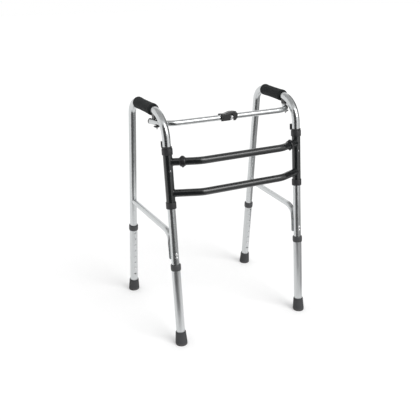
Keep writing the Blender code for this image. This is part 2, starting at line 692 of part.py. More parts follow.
# Latch: a channel that turns on the pivot pin and hooks down over the catch pin
gloss = material("latch_gloss", (0.015, 0.015, 0.016), 0.0, 0.3)
latch_body = body("latch", front_point(PIN_X["left"], TOP_BAR_BACK, TOP_BAR_Z))
attach(bpy.data.objects["left_bar"], [latch_body])
middle = front_point(0.0, TOP_BAR_BACK, TOP_BAR_Z)
latch = plate(
    "latch_lever", middle, X_AXIS, LEG_UP,
    rounded_outline([
        (-0.0370, -0.0106, 0.0015), (-0.0042, -0.0106, 0.0010), (-0.0018, 0.0076, 0.0036),
        (0.0068, 0.0076, 0.0036), (0.0074, -0.0122, 0.0010), (0.0150, -0.0122, 0.0050),
        (0.0222, -0.0030, 0.0060), (0.0226, 0.0090, 0.0060), (0.0180, 0.0172, 0.0060),
        (0.0010, 0.0176, 0.0100), (-0.0150, 0.0130, 0.0120), (-0.0250, 0.0118, 0.0080),
        (-0.0362, 0.0124, 0.0008),
    ], 4), LATCH_HALF_WIDE, gloss,
)
past_latch = 0.06
channel = plate(
    "latch_channel", middle, X_AXIS, LEG_UP,
    [(-past_latch, -past_latch), (past_latch, -past_latch), (past_latch, LATCH_ROOF_Z),
     (LATCH_ROOF_START, LATCH_ROOF_Z), (LATCH_ROOF_START, past_latch), (-past_latch, past_latch)],
    LATCH_HALF_WIDE - LATCH_WALL, None,
)
carve(latch, channel)
eye_base = front_point(PIN_X["left"], TOP_BAR_BACK - 0.02, TOP_BAR_Z)
carve(latch, cylinder_cut("latch_eye", eye_base, LEG_BACK, 0.04, PIN_R["left"] + 0.0004))
attach(latch_body, [latch])
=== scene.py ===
"""Folding walking frame: the looks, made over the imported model."""
import math
from collections import namedtuple

import bmesh
import bpy
from mathutils import Matrix, Vector


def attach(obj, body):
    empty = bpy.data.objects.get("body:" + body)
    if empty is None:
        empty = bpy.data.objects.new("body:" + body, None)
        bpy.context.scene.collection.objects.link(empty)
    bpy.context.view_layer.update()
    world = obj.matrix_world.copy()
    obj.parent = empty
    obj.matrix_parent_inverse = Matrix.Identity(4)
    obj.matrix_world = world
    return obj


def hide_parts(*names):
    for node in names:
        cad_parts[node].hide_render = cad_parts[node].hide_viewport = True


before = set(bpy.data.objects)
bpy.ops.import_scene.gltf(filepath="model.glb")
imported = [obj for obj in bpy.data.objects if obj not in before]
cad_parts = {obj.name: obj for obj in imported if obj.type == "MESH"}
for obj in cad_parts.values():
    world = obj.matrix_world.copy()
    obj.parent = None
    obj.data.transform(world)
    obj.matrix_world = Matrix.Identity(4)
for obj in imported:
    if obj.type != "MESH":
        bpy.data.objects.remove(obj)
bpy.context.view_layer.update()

# Sleeves of the front frame: short steel tubes that turn on the front legs.
# They are cut, welded to the front bars and stoved gloss black.
LEG_LEAN = 0.12
LEG_HALF_APART = 0.236
HALF_DEPTH = 0.2086
SLEEVE_R = 0.0144
SLEEVE_BORE = 0.0132
SLEEVE_LOW = 0.473
SLEEVE_HIGH = 0.649
HANDS = ((-1, "left"), (1, "right"))
leg_up = Vector((0.0, LEG_LEAN, 1.0)).normalized()
leg_back = Vector((0.0, 1.0, -LEG_LEAN)).normalized()


def front_place(x, back, height):
    """A point near a front leg: height is read on the leg's axis, back is square to that axis."""
    return Vector((x, LEG_LEAN * height - HALF_DEPTH, height)) + leg_back * back


def placed(name, data):
    """A new object at the origin that holds a mesh, a lamp or a camera."""
    thing = bpy.data.objects.new(name, data)
    bpy.context.scene.collection.objects.link(thing)
    return thing


def smoothed(mesh, sharp_deg=35.0):
    """Smooth shading over a mesh, but for the edges that are sharper than the angle."""
    mesh.polygons.foreach_set("use_smooth", [True] * len(mesh.polygons))
    mesh.set_sharp_from_angle(angle=math.radians(sharp_deg))


def finished_mesh(name, builder, sharp_deg=35.0, same_spot=0.000005):
    """An object from a closed bmesh, smooth but for its sharp edges."""
    bmesh.ops.remove_doubles(builder, verts=builder.verts, dist=same_spot)
    bmesh.ops.recalc_face_normals(builder, faces=builder.faces)
    mesh = bpy.data.meshes.new(name)
    builder.to_mesh(mesh)
    builder.free()
    smoothed(mesh, sharp_deg)
    return placed(name, mesh)


def eased(profile, ease, most_share=0.45):
    """The profile with each corner off the axis turned into a small curve."""
    points = [Vector(p) for p in profile]
    made = []
    for i, point in enumerate(points):
        if point.x == 0.0:
            made.append(point)
            continue
        before = points[i - 1] - point
        after = points[(i + 1) % len(points)] - point
        first = point + before * min(ease / before.length, most_share)
        last = point + after * min(ease / after.length, most_share)
        made += [first, first * 0.25 + point * 0.5 + last * 0.25, last]
    return made


def stitch(builder, first, second):
    """Faces between two rings of points; a ring of one point closes as a fan."""
    count = max(len(first), len(second))
    for i in range(count):
        k = (i + 1) % count
        if len(first) == 1:
            builder.faces.new((first[0], second[k], second[i]))
        elif len(second) == 1:
            builder.faces.new((first[i], first[k], second[0]))
        else:
            builder.faces.new((first[i], first[k], second[k], second[i]))


def round_turns(count):
    """Angles that share out one full turn."""
    return [2.0 * math.pi * i / count for i in range(count)]


def turned_shell(builder, base, axis, profile, sides=56):
    """A profile of (radius, height) turned round an axis, added to a bmesh as one closed shell."""
    axis = axis.normalized()
    side = axis.orthogonal().normalized()
    other = axis.cross(side)
    loops = []
    for radius, height in profile:
        centre = base + axis * height
        if radius == 0.0:
            loops.append([builder.verts.new(centre)])
            continue
        spots = [centre + (side * math.cos(t) + other * math.sin(t)) * radius for t in round_turns(sides)]
        loops.append([builder.verts.new(spot) for spot in spots])
    pairs = list(zip(loops, loops[1:]))
    if profile[0][0] > 0.0 or profile[-1][0] > 0.0:
        pairs.append((loops[-1], loops[0]))
    for first, second in pairs:
        if len(first) > 1 or len(second) > 1:
            stitch(builder, first, second)


def turned_piece(name, base, axis, profile, ease=0.0, sides=56):
    """An object of one turned shell, with its corners eased where ease is given."""
    builder = bmesh.new()
    points = eased(profile, ease) if ease else [Vector(p) for p in profile]
    turned_shell(builder, base, axis, points, sides)
    return finished_mesh(name, builder)


def new_node(tree, kind, inputs, **settings):
    """A node with its settings made, and each input linked to the given socket or set to the value."""
    node = tree.nodes.new(kind)
    for label, value in settings.items():
        setattr(node, label, value)
    for label, value in inputs.items():
        if isinstance(value, bpy.types.NodeSocket):
            tree.links.new(value, node.inputs[label])
        else:
            node.inputs[label].default_value = value
    return node


def marks_group():
    """Handling marks and fine grain that every finish shares, each with its own values."""
    tree = bpy.data.node_groups.new("handling_marks", "ShaderNodeTree")
    tree.interface.new_socket("Vector", in_out="INPUT", socket_type="NodeSocketVector")
    for label in ("Mark Scale", "Low", "High", "Grain Scale"):
        tree.interface.new_socket(label, in_out="INPUT", socket_type="NodeSocketFloat")
    for label in ("Roughness", "Mask", "Grain"):
        tree.interface.new_socket(label, in_out="OUTPUT", socket_type="NodeSocketFloat")
    given = tree.nodes.new("NodeGroupInput").outputs
    cloud = new_node(tree, "ShaderNodeTexNoise", {
        "Vector": given["Vector"], "Scale": given["Mark Scale"], "Detail": 5.0, "Roughness": 0.62})
    grain = new_node(tree, "ShaderNodeTexNoise", {
        "Vector": given["Vector"], "Scale": given["Grain Scale"], "Detail": 3.0})
    spread = new_node(tree, "ShaderNodeMapRange", {
        "Value": cloud.outputs["Fac"], "From Min": 0.3, "From Max": 0.7, "To Min": given["Low"],
        "To Max": given["High"]})
    new_node(tree, "NodeGroupOutput", {
        "Roughness": spread.outputs["Result"], "Mask": cloud.outputs["Fac"], "Grain": grain.outputs["Fac"]})
    return tree


handling_marks = marks_group()


def finish_base(name, shades, rough, mark_scale, grain_scale, bump, depth, stretch=(1.0, 1.0, 1.0)):
    """A material with marks in its shade and roughness and grain in its normal, and its shader."""
    mat = bpy.data.materials.new(name)
    mat.use_nodes = True
    tree = mat.node_tree
    shader = tree.nodes["Principled BSDF"]
    place = tree.nodes.new("ShaderNodeTexCoord")
    turn = new_node(tree, "ShaderNodeMapping", {"Vector": place.outputs["Object"], "Scale": stretch})
    marks = new_node(tree, "ShaderNodeGroup", {
        "Vector": turn.outputs["Vector"], "Mark Scale": mark_scale, "Low": rough[0], "High": rough[1],
        "Grain Scale": grain_scale}, node_tree=handling_marks)
    relief = new_node(tree, "ShaderNodeBump", {
        "Height": marks.outputs["Grain"], "Strength": bump, "Distance": depth})
    mix = new_node(tree, "ShaderNodeMix", {
        "Factor": marks.outputs["Mask"], "A": (*shades[0], 1.0), "B": (*shades[1], 1.0)}, data_type="RGBA")
    tree.links.new(marks.outputs["Roughness"], shader.inputs["Roughness"])
    tree.links.new(relief.outputs["Normal"], shader.inputs["Normal"])
    tree.links.new(mix.outputs["Result"], shader.inputs["Base Color"])
    return mat, shader


def stoved_black():
    """Gloss black enamel with the faint ripple of paint that flowed as it was baked."""
    mat, shader = finish_base(
        "stoved_black", shades=((0.0045, 0.0056, 0.0060), (0.0085, 0.0102, 0.0108)), rough=(0.17, 0.25),
        mark_scale=45.0, grain_scale=420.0, bump=0.03, depth=0.0004,
    )
    shader.inputs["Specular IOR Level"].default_value = 0.85
    return mat


black_stove = stoved_black()


def put_on(piece, mat, body, slot, *nodes):
    """Finish a piece: its material, the body that it moves with, and the solids that it stands for."""
    piece.data.materials.clear()
    piece.data.materials.append(mat)
    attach(piece, body)
    if nodes:
        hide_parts(*nodes)


for sign, hand in HANDS:
    length = (SLEEVE_HIGH - SLEEVE_LOW) * math.hypot(1.0, LEG_LEAN)
    sleeve = turned_piece(
        f"{hand}_sleeve_tube", front_place(sign * LEG_HALF_APART, 0.0, SLEEVE_LOW), leg_up,
        [(SLEEVE_R, 0.0), (SLEEVE_R, length), (SLEEVE_BORE, length), (SLEEVE_BORE, 0.0)],
    )
    put_on(sleeve, black_stove, "front_frame", "black_paint", f"{hand}_sleeve")

# Front bars: two steel tubes bowed forward, so that the sides fold flat behind them.
# Their ends are coped to the sleeves and welded all round before painting.
BAR_R = 0.0119
BAR_WALL = 0.0016
BAR_BOW = 0.047
BAR_BEND_X = 0.147
BAR_BEND_R = 0.065
BAR_HEIGHTS = {"upper": 0.613, "lower": 0.515}
BAR_WELD_R = 0.0014


def bent_path(corners, radii, steps=20):
    """Corner points joined by straights, with an arc of the given radius at each corner."""
    path = [corners[0]]
    for i, radius in enumerate(radii, 1):
        back = (corners[i - 1] - corners[i]).normalized()
        ahead = (corners[i + 1] - corners[i]).normalized()
        half = back.angle(ahead) / 2.0
        centre = corners[i] + (back + ahead).normalized() * (radius / math.sin(half))
        start = corners[i] + back * (radius / math.tan(half)) - centre
        end = corners[i] + ahead * (radius / math.tan(half)) - centre
        turn = start.angle(end)
        for k in range(steps + 1):
            share = k / steps
            near = math.sin((1.0 - share) * turn) / math.sin(turn)
            far = math.sin(share * turn) / math.sin(turn)
            path.append(centre + start * near + end * far)
    path.append(corners[-1])
    return path


def round_section(radius, sides=48):
    """The round outline of a tube."""
    return [(radius * math.cos(t), radius * math.sin(t)) for t in round_turns(sides)]


def swept_rings(builder, path, normal, sections):
    """Rings of points along a path that lies square to normal."""
    made = []
    last = len(path) - 1
    for i, spot in enumerate(path):
        ahead = (path[min(i + 1, last)] - path[i]).normalized()
        behind = (path[i] - path[max(i - 1, 0)]).normalized()
        across = (ahead + behind).normalized().cross(normal).normalized()
        made.append([builder.verts.new(spot + normal * a + across * b) for a, b in sections[i]])
    return made


def bent_tube(name, path, normal, sections):
    """A closed tube along a path, with one outline for each of its points."""
    builder = bmesh.new()
    rings = swept_rings(builder, path, normal.normalized(), sections)
    for first, second in zip(rings, rings[1:]):
        stitch(builder, first, second)
    builder.faces.new(rings[0])
    builder.faces.new(rings[-1])
    return finished_mesh(name, builder)


def weld_bead(name, spots, radius, sides=10, ripple=0.10, ripple_spots=4.0):
    """A rounded bead with a faint ripple along a closed line of points."""
    builder = bmesh.new()
    count = len(spots)
    middle = sum(spots, Vector()) / count
    rings = []
    for i, spot in enumerate(spots):
        along = (spots[(i + 1) % count] - spots[i - 1]).normalized()
        out = (spot - middle).normalized()
        out = (out - along * out.dot(along)).normalized()
        side = along.cross(out)
        swell = radius * (1.0 + ripple * math.sin(i * 2.0 * math.pi / ripple_spots))
        ring = [spot + (out * math.cos(t) + side * math.sin(t)) * swell for t in round_turns(sides)]
        rings.append([builder.verts.new(place) for place in ring])
    for i in range(count):
        stitch(builder, rings[i - 1], rings[i])
    return finished_mesh(name, builder)


def coped_spot(spot, way, origin, post, post_r):
    """The place where a line through spot, along way, comes out of a round post."""
    off = spot - origin
    flat_off = off - post * off.dot(post)
    flat_way = way - post * way.dot(post)
    b = flat_off.dot(flat_way)
    c = flat_off.length_squared - post_r * post_r
    return spot + way * ((-b + math.sqrt(b * b - flat_way.length_squared * c)) / flat_way.length_squared)


def coped_line(origin, post, post_r, way, bar_r, count=64):
    """Where a round bar that starts on a post's axis comes out of the post."""
    side = way.cross(post).normalized()
    rise = side.cross(way).normalized()
    offs = [(side * math.cos(t) + rise * math.sin(t)) * bar_r for t in round_turns(count)]
    return [coped_spot(origin + off, way, origin, post, post_r) for off in offs]


def coped_tube(name, path, normal, radius, wall, post, post_r, margin=0.0006):
    """A bent tube whose open ends are cut to sit on a round post at each end of its path."""
    builder = bmesh.new()
    inset = post_r + margin
    ways = [(path[1] - path[0]).normalized(), (path[-2] - path[-1]).normalized()]
    posts = [path[0], path[-1]]
    inner = [path[0] + ways[0] * inset] + path[1:-1] + [path[-1] + ways[1] * inset]
    rings = swept_rings(builder, inner, normal.normalized(), [round_section(radius)] * len(inner))
    for first, second in zip(rings, rings[1:]):
        stitch(builder, first, second)
    for ring, way, origin, end in zip((rings[0], rings[-1]), ways, posts, (inner[0], inner[-1])):
        narrow = [end + (vert.co - end) * (1.0 - wall / radius) for vert in ring]
        lip = [builder.verts.new(coped_spot(vert.co, way, origin, post, post_r)) for vert in ring]
        inside = [builder.verts.new(coped_spot(spot, way, origin, post, post_r)) for spot in narrow]
        cap = [builder.verts.new(spot) for spot in narrow]
        stitch(builder, ring, lip)
        stitch(builder, lip, inside)
        stitch(builder, inside, cap)
        builder.faces.new(cap)
    return finished_mesh(name, builder)


for level, height in BAR_HEIGHTS.items():
    corners = [
        front_place(-LEG_HALF_APART, 0.0, height), front_place(-BAR_BEND_X, -BAR_BOW, height),
        front_place(BAR_BEND_X, -BAR_BOW, height), front_place(LEG_HALF_APART, 0.0, height),
    ]
    path = bent_path(corners, [BAR_BEND_R, BAR_BEND_R])
    bar = coped_tube(f"{level}_bowed_bar", path, leg_up, BAR_R, BAR_WALL, leg_up, SLEEVE_R)
    put_on(bar, black_stove, "front_frame", "black_paint", f"{level}_front_bar")
    for sign, hand in HANDS:
        origin = front_place(sign * LEG_HALF_APART, 0.0, height)
        bend = front_place(sign * BAR_BEND_X, -BAR_BOW, height)
        line = coped_line(origin, leg_up, SLEEVE_R, (bend - origin).normalized(), BAR_R)
        bead = weld_bead(f"{hand}_{level}_bar_weld", line, BAR_WELD_R)
        put_on(bead, black_stove, "front_frame", "black_paint")

# Bushes: moulded caps over both ends of each sleeve, that the leg turns in.
# They are of dark nylon with a faint moulded grain.
Bush = namedtuple("Bush", "height way radius depth")
BUSHES = {"top": Bush(0.655, -1.0, 0.0170, 0.0190), "bottom": Bush(0.467, 1.0, 0.0165, 0.0210)}
TUBE_BORE = 0.0131
OVER_TUBE = 0.0147
BUSH_LIP = 0.0056
BUSH_EASE = 0.0013


def moulded_plastic(name, shades, rough):
    """Plastic with the fine grain of its mould."""
    mat, shader = finish_base(
        name, shades, rough, mark_scale=60.0, grain_scale=2200.0, bump=0.12, depth=0.0003)
    shader.inputs["Specular IOR Level"].default_value = 0.45
    return mat


bush_nylon = moulded_plastic("bush_nylon", ((0.020, 0.020, 0.021), (0.034, 0.034, 0.036)), (0.34, 0.50))
for sign, hand in HANDS:
    for end, bush in BUSHES.items():
        deep = bush.way * bush.depth
        lip = bush.way * BUSH_LIP
        cap = turned_piece(
            f"{hand}_{end}_bush_cap", front_place(sign * LEG_HALF_APART, 0.0, bush.height), leg_up,
            [(TUBE_BORE, 0.0), (bush.radius, 0.0), (bush.radius, deep), (OVER_TUBE, deep), (OVER_TUBE, lip),
             (TUBE_BORE, lip)], BUSH_EASE,
        )
        put_on(cap, bush_nylon, "front_frame", "black_plastic", f"{hand}_{end}_bush")

# Bar collars: moulded rings on the upper bar, one near each sleeve, each held by a pointed screw.
# The ring has a domed boss on top, and the screw's tip shows below.
COLLAR_OFF = 0.045
COLLAR_RING = [
    (0.0122, -0.0090), (0.0136, -0.0090), (0.0151, -0.0060), (0.0157, 0.0), (0.0151, 0.0060),
    (0.0136, 0.0090), (0.0122, 0.0090),
]
COLLAR_EASE = 0.0022
COLLAR_BOSS = 0.0132
BOSS_DOME = [
    (0.0, 0.0), (0.0064, 0.0), (0.0062, 0.0016), (0.0057, 0.0028), (0.0049, 0.0037), (0.0038, 0.0044),
    (0.0026, 0.0048), (0.0012, 0.0050), (0.0, 0.0050),
]
SCREW_TIP = [(0.0, 0.0), (0.0046, 0.0), (0.0042, 0.0034), (0.0022, 0.0044), (0.0016, 0.0056), (0.0, 0.0060)]
SCREW_EASE = 0.0004
BOSS_SIDES = 32
collar_gloss = moulded_plastic("collar_gloss", ((0.010, 0.010, 0.011), (0.018, 0.018, 0.019)), (0.22, 0.34))
for sign, hand in HANDS:
    outer_end = front_place(sign * LEG_HALF_APART, 0.0, BAR_HEIGHTS["upper"])
    inner_end = front_place(sign * BAR_BEND_X, -BAR_BOW, BAR_HEIGHTS["upper"])
    along = (outer_end - inner_end).normalized()
    centre = outer_end - along * COLLAR_OFF
    builder = bmesh.new()
    turned_shell(builder, centre, along, eased(COLLAR_RING, COLLAR_EASE))
    turned_shell(builder, centre + leg_up * COLLAR_BOSS, leg_up, BOSS_DOME, BOSS_SIDES)
    turned_shell(builder, centre - leg_up * COLLAR_BOSS, -leg_up, eased(SCREW_TIP, SCREW_EASE), BOSS_SIDES)
    collar = finished_mesh(f"{hand}_screwed_collar", builder)
    put_on(collar, collar_gloss, "front_frame", "black_plastic", f"{hand}_bar_collar")

# Rivets: plated domes on the front of the sleeves, and pairs through the legs that hold the braces.
# A row of them is one tree, with the dome's size, the way it faces and the row's step as inputs.
SLEEVE_RIVET_HEIGHT = 0.587
SLEEVE_DOME_R = 0.0032


def plated_steel():
    """Bright plating with soft wear."""
    mat, shader = finish_base(
        "plated_steel", shades=((0.74, 0.74, 0.75), (0.88, 0.88, 0.88)), rough=(0.16, 0.34),
        mark_scale=180.0, grain_scale=2600.0, bump=0.06, depth=0.0002,
    )
    shader.inputs["Metallic"].default_value = 1.0
    return mat


plated = plated_steel()


def shape_tree(name, inputs):
    """A Geometry Nodes tree with named inputs and one result, and the sockets that give its inputs."""
    tree = bpy.data.node_groups.new(name, "GeometryNodeTree")
    for label, kind in inputs.items():
        tree.interface.new_socket(label, in_out="INPUT", socket_type="NodeSocket" + kind)
    tree.interface.new_socket("Geometry", in_out="OUTPUT", socket_type="NodeSocketGeometry")
    return tree, tree.nodes.new("NodeGroupInput").outputs


def row_of_copies(tree, given, shape):
    """Copies of a shape in a row that face one way, by the tree's inputs of those names."""
    row = new_node(tree, "GeometryNodeMeshLine", {
        "Count": given["Count"], "Start Location": given["Start"], "Offset": given["Step"]})
    aim = new_node(tree, "FunctionNodeAlignRotationToVector", {"Vector": given["Facing"]}, axis="Z")
    copies = new_node(tree, "GeometryNodeInstanceOnPoints", {
        "Points": row.outputs["Mesh"], "Instance": shape, "Rotation": aim.outputs["Rotation"]})
    return copies.outputs["Instances"]


def real_shape(tree, shape):
    """Copies turned into one real mesh."""
    return new_node(tree, "GeometryNodeRealizeInstances", {"Geometry": shape}).outputs["Geometry"]


def give_finish(tree, given, shape):
    """Coat the shape with the tree's finish and make it the tree's result."""
    coat = new_node(tree, "GeometryNodeSetMaterial", {"Geometry": shape, "Material": given["Finish"]})
    new_node(tree, "NodeGroupOutput", {"Geometry": coat.outputs["Geometry"]})


def rivet_row_tree():
    """A row of rivets, each with a dome at both ends of its shank."""
    tree, given = shape_tree("rivet_row", {
        "Count": "Int", "Start": "Vector", "Step": "Vector", "Facing": "Vector", "Through": "Vector",
        "Dome Radius": "Float", "Finish": "Material"})
    head = new_node(tree, "GeometryNodeMeshUVSphere", {
        "Segments": 28, "Rings": 14, "Radius": given["Dome Radius"]})
    dome = new_node(tree, "GeometryNodeTransform", {
        "Geometry": head.outputs["Mesh"], "Scale": (1.0, 1.0, 0.58)})
    fronts = row_of_copies(tree, given, dome.outputs["Geometry"])
    tails = new_node(tree, "GeometryNodeTransform", {"Geometry": fronts, "Translation": given["Through"]})
    both = new_node(tree, "GeometryNodeJoinGeometry", {"Geometry": fronts})
    tree.links.new(tails.outputs["Geometry"], both.inputs["Geometry"])
    give_finish(tree, given, real_shape(tree, both.outputs["Geometry"]))
    return tree


rivet_row = rivet_row_tree()


def baked_mesh(piece):
    """The mesh that a piece has once its modifiers have run."""
    bpy.context.view_layer.update()
    graph = bpy.context.evaluated_depsgraph_get()
    return bpy.data.meshes.new_from_object(piece.evaluated_get(graph))


def grown_piece(name, tree, values, blank=None):
    """Run a tree with its named inputs set, on a blank if there is one, and keep a plain mesh."""
    seed = blank or placed(name + "_seed", bpy.data.meshes.new(name + "_seed"))
    grow = seed.modifiers.new("grow", "NODES")
    grow.node_group = tree
    for socket in tree.interface.items_tree:
        if socket.in_out == "INPUT" and socket.name in values:
            grow[socket.identifier] = values[socket.name]
    mesh = baked_mesh(seed)
    bpy.data.objects.remove(seed, do_unlink=True)
    mesh.name = name
    smoothed(mesh)
    return placed(name, mesh)


for sign, hand in HANDS:
    spot = front_place(sign * LEG_HALF_APART, -SLEEVE_R, SLEEVE_RIVET_HEIGHT)
    dome = grown_piece(f"{hand}_sleeve_dome", rivet_row, {
        "Count": 1, "Start": tuple(spot), "Step": (0.0, 0.0, 0.0), "Facing": tuple(-leg_back),
        "Through": (0.0, 0.0, 0.0), "Dome Radius": SLEEVE_DOME_R, "Finish": plated})
    put_on(dome, plated, "front_frame", "steel", f"{hand}_sleeve_rivet")

# Side tubes: one length of drawn aluminium each, bent into an upturned U and bright anodised.
# The front bend is wide, the back bend tighter, and the two legs spread apart towards the floor.
SIDE_R = 0.0127
DEPTH = 0.417
REAR_LEAN = 0.095
TOE_OUT = 0.013 / 0.417
GRIP_HEIGHT = 0.7555
TUBE_END = 0.0766
BEND_RADII = [0.084, 0.054]
BEND_STEPS = 28
SideFrame = namedtuple("SideFrame", "feet tops ups faces across")


def side_place(sign, back, height):
    """A point in a side frame's plane: back is measured from the front leg's axis at that height."""
    return Vector((sign * (LEG_HALF_APART + TOE_OUT * back), back + LEG_LEAN * height - HALF_DEPTH, height))


def drawn_alloy(name, stretch, rough=(0.20, 0.28)):
    """Anodised aluminium with fine lines along the length that it was drawn."""
    mat, shader = finish_base(
        name, shades=((0.54, 0.555, 0.56), (0.66, 0.675, 0.68)), rough=rough,
        mark_scale=1.1, grain_scale=5.0, bump=0.02, depth=0.0003, stretch=stretch,
    )
    shader.inputs["Metallic"].default_value = 1.0
    return mat


upright_alloy = drawn_alloy("upright_alloy", (160.0, 160.0, 2.5))
side_frames = {}
for sign, hand in HANDS:
    rear_back = DEPTH - (LEG_LEAN + REAR_LEAN) * GRIP_HEIGHT
    feet = {"front": side_place(sign, 0.0, 0.0), "rear": side_place(sign, DEPTH, 0.0)}
    tops = {"front": side_place(sign, 0.0, GRIP_HEIGHT), "rear": side_place(sign, rear_back, GRIP_HEIGHT)}
    ups = {end: (tops[end] - feet[end]).normalized() for end in feet}
    across = (side_place(sign, 1.0, 0.0) - side_place(sign, 0.0, 0.0)).cross(leg_up).normalized()
    faces = {end: across.cross(ups[end]) for end in feet}
    for end, wanted in (("front", 1.0), ("rear", -1.0)):
        if faces[end].y * wanted < 0.0:
            faces[end].negate()
    side_frames[hand] = SideFrame(feet, tops, ups, faces, across)
    corners = [
        feet["front"] + ups["front"] * TUBE_END, tops["front"], tops["rear"],
        feet["rear"] + ups["rear"] * TUBE_END,
    ]
    path = bent_path(corners, BEND_RADII, BEND_STEPS)
    tube = bent_tube(f"{hand}_bent_tube", path, across, [round_section(SIDE_R, sides=56)] * len(path))
    put_on(tube, upright_alloy, f"{hand}_side", "alloy", f"{hand}_side_tube")

# Braces: round tube from the rear leg, bent down and pressed flat against the back of the front leg.
# The rear end is welded, and two rivets hold the flat.
BRACE_R = 0.0095
BRACE_HEIGHT = 0.381
BRACE_SHORT = 0.009
BRACE_LOW = 0.2962
BRACE_BEND_R = 0.055
BRACE_WELD_R = 0.0013
FLAT_HALF = 0.0024
FLAT_HALF_WIDE = 0.0140
FLAT_BACK = 0.0156
FLAT_RINGS = 8
LAST_RING = 0.86
PRESS_FIRST = 14
PRESS_RINGS = 12.0
BRACE_RIVETS = (0.318, 0.307)
BRACE_DOME_R = 0.0044
along_alloy = drawn_alloy("along_alloy", (160.0, 2.5, 160.0))


def pressed_section(half_wide, half_thick, sides=48):
    """A tube end pressed flat: wide, thin and rounded at its edges."""
    made = []
    for c, s in round_section(1.0, sides):
        wide = math.copysign(abs(c) ** 0.6, c) * half_wide
        thick = math.copysign(abs(s) ** 0.5, s) * half_thick
        made.append((wide, thick))
    return made


def blended_section(first, second, share, shrink):
    """An outline part of the way from one to another, which may be shrunk."""
    rest = 1.0 - share
    return [(rest * a[0] + share * b[0] * shrink, rest * a[1] + share * b[1] * shrink)
            for a, b in zip(first, second)]


for sign, hand in HANDS:
    side = side_frames[hand]
    face = side.faces["front"]
    brace_back = DEPTH - (LEG_LEAN + REAR_LEAN) * BRACE_HEIGHT
    corners = [
        side_place(sign, brace_back - BRACE_SHORT, BRACE_HEIGHT),
        side_place(sign, 0.0, BRACE_HEIGHT) + face * FLAT_BACK,
        side_place(sign, 0.0, BRACE_LOW) + face * FLAT_BACK,
    ]
    path = bent_path(corners, [BRACE_BEND_R], BEND_STEPS)
    tail = path.pop()
    last = path[-1]
    path += [last.lerp(tail, step / FLAT_RINGS) for step in range(1, FLAT_RINGS + 1)]
    sections = []
    for i in range(len(path)):
        share = min(max((i - PRESS_FIRST) / PRESS_RINGS, 0.0), 1.0)
        share = share * share * (3.0 - 2.0 * share)
        shrink = 1.0 if i < len(path) - 1 else LAST_RING
        flat = pressed_section(FLAT_HALF_WIDE, FLAT_HALF)
        sections.append(blended_section(round_section(BRACE_R), flat, share, shrink))
    brace = bent_tube(f"{hand}_pressed_brace", path, side.across, sections)
    put_on(brace, along_alloy, f"{hand}_side", "alloy", f"{hand}_brace")
    origin = side_place(sign, brace_back, BRACE_HEIGHT)
    way = (side_place(sign, 0.0, BRACE_HEIGHT) - origin).normalized()
    line = coped_line(origin, side.ups["rear"], SIDE_R, way, BRACE_R)
    bead = weld_bead(f"{hand}_brace_weld", line, BRACE_WELD_R)
    put_on(bead, along_alloy, f"{hand}_side", "alloy")
    upper, lower = [side_place(sign, 0.0, height) for height in BRACE_RIVETS]
    row = grown_piece(f"{hand}_brace_domes", rivet_row, {
        "Count": 2, "Start": tuple(upper - face * SIDE_R), "Step": tuple(lower - upper),
        "Facing": tuple(-face), "Through": tuple(face * (SIDE_R + FLAT_BACK + FLAT_HALF)),
        "Dome Radius": BRACE_DOME_R, "Finish": plated})
    put_on(row, plated, f"{hand}_side", "steel", f"{hand}_upper_rivet", f"{hand}_lower_rivet")

# Grips: closed-cell foam sleeves pushed over the top of each side tube, a little fuller at the ends.
# The skin is matte, finely pitted, and pressed slightly flat where hands lie.
GRIP_START = 0.0785
GRIP_LENGTH = 0.1265
GRIP_HALF_PROFILE = [
    (0.0129, 0.0), (0.0162, 0.0), (0.0178, 0.0006), (0.0188, 0.0020), (0.0194, 0.0042), (0.0196, 0.0075),
    (0.0194, 0.0130), (0.0190, 0.0220), (0.0187, 0.0380), (0.0186, GRIP_LENGTH / 2),
]
GRIP_SKIN = 0.0150
PRESSED_ALONG = 0.0004
PRESSED_ROUND = 0.0003
WAVES_ALONG = 230.0
LOBES_ROUND = 3.0


def foam_skin():
    """Matte foam with fine pits over its grain."""
    mat, shader = finish_base(
        "foam_skin", shades=((0.009, 0.0105, 0.011), (0.020, 0.0225, 0.0235)), rough=(0.78, 0.95),
        mark_scale=70.0, grain_scale=1500.0, bump=0.55, depth=0.0010,
    )
    tree = mat.node_tree
    place = tree.nodes["Texture Coordinate"]
    pits = new_node(tree, "ShaderNodeTexVoronoi", {"Vector": place.outputs["Object"], "Scale": 720.0})
    dent = new_node(tree, "ShaderNodeBump", {
        "Height": pits.outputs["Distance"], "Normal": tree.nodes["Bump"].outputs["Normal"],
        "Strength": 0.5, "Distance": 0.0008})
    tree.links.new(dent.outputs["Normal"], shader.inputs["Normal"])
    shader.inputs["Specular IOR Level"].default_value = 0.2
    shader.inputs["Sheen Weight"].default_value = 0.04
    return mat


foam = foam_skin()
for hand, side in side_frames.items():
    axis = (side.tops["rear"] - side.tops["front"]).normalized()
    half = [Vector(p) for p in GRIP_HALF_PROFILE]
    profile = half + [Vector((p.x, GRIP_LENGTH - p.y)) for p in reversed(half[:-1])]
    builder = bmesh.new()
    turned_shell(builder, side.tops["front"] + axis * GRIP_START, axis, profile, sides=96)
    middle = side.tops["front"] + axis * (GRIP_START + GRIP_LENGTH / 2)
    for vert in builder.verts:
        off = vert.co - middle
        reach = off.dot(axis)
        lift = off - axis * reach
        if lift.length > GRIP_SKIN:
            along = PRESSED_ALONG * math.cos(reach * WAVES_ALONG)
            around = PRESSED_ROUND * math.sin(LOBES_ROUND * math.atan2(lift.z, lift.x))
            vert.co -= lift.normalized() * abs(along + around)
    grip = finished_mesh(f"{hand}_foam_grip", builder, sharp_deg=60.0)
    put_on(grip, foam, f"{hand}_side", "foam", f"{hand}_grip")

